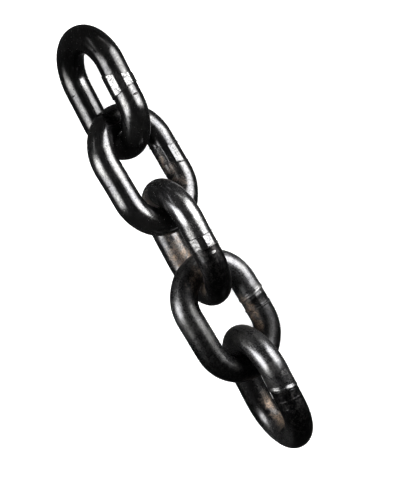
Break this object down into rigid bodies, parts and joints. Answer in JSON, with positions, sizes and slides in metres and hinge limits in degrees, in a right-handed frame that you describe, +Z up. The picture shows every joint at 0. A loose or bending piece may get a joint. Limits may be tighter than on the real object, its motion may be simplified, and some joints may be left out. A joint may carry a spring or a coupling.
{
  "type": "welded link chain",
  "caption": "Length of welded short-link steel chain, pulled straight, each link free to swing on the bar of the next.",
  "frame": {"origin": "centre of the chain's box in X and Y, on the floor that it lies on", "axes": "+X along the chain from link_1 to link_5, +Y to the side of every weld, +Z up"},
  "size_m": [0.2238, 0.0396, 0.0426],
  "materials": {
    "blackened_steel": "blackened and oiled, glossy, with faint pitting and a brown bloom of rust inside the loops"
  },
  "bodies": {
    "link_1": {"link_1": "blackened_steel"},
    "link_2": {"link_2": "blackened_steel"},
    "link_3": {"link_3": "blackened_steel"},
    "link_4": {"link_4": "blackened_steel"},
    "link_5": {"link_5": "blackened_steel"}
  },
  "joints": [
    {"name": "swing_2_on_1", "type": "hinge", "parent": "link_1", "child": "link_2", "pos_m": [-0.05252, -0.00098, 0.02105], "axis": [-0.0286, 0.7425, 0.6692], "range_deg": [-90, 90]},
    {"name": "swing_3_on_2", "type": "hinge", "parent": "link_2", "child": "link_3", "pos_m": [-0.01304, 0.00026, 0.02105], "axis": [-0.008, 0.6856, -0.728], "range_deg": [-90, 90]},
    {"name": "swing_4_on_3", "type": "hinge", "parent": "link_3", "child": "link_4", "pos_m": [0.02645, -0.00043, 0.02105], "axis": [-0.0007, 0.6109, 0.7917], "range_deg": [-90, 90]},
    {"name": "swing_5_on_4", "type": "hinge", "parent": "link_4", "child": "link_5", "pos_m": [0.06593, 0.00081, 0.02105], "axis": [-0.0074, 0.7564, -0.6541], "range_deg": [-90, 90]}
  ]
}
